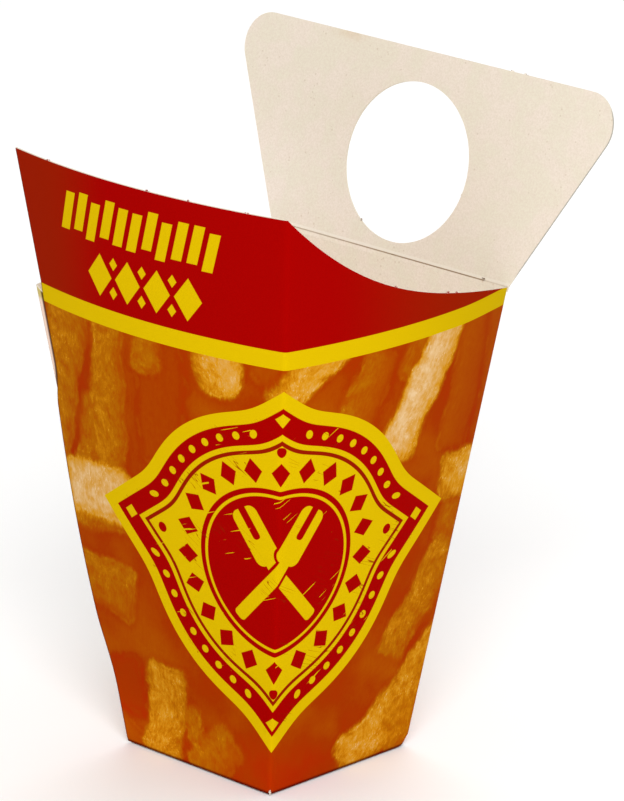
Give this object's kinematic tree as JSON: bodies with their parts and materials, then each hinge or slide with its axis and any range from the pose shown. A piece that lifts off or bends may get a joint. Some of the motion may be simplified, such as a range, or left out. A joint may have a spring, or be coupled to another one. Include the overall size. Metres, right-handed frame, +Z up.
{
  "type": "french fries carton",
  "caption": "Empty folded paperboard carton for fries: a square tapered cup with a tall front wall, one side that sweeps down, and a hinged back flap with a round dip-pot hole.",
  "frame": {"origin": "middle of the floor's underside, the flat face the carton stands on", "axes": "+Z up out of the mouth; -Y out of the tall front wall; +X out of the right wall that sweeps down; +Y out of the back wall with the flap"},
  "size_m": [0.138, 0.1154, 0.1889],
  "materials": {
    "printed_board": "offset print in red, yellow and golden orange under a thin satin varnish",
    "bare_board": "uncoated, fibre mottled"
  },
  "bodies": {
    "carton": {"carton": "printed_board"},
    "dip_flap": {"dip_flap": "bare_board"}
  },
  "joints": [
    {"name": "flap_crease", "type": "hinge", "parent": "carton", "child": "dip_flap", "pos_m": [0, 0.04475, 0.1338], "axis": [1, 0, 0], "range_deg": [-74, 90]}
  ]
}
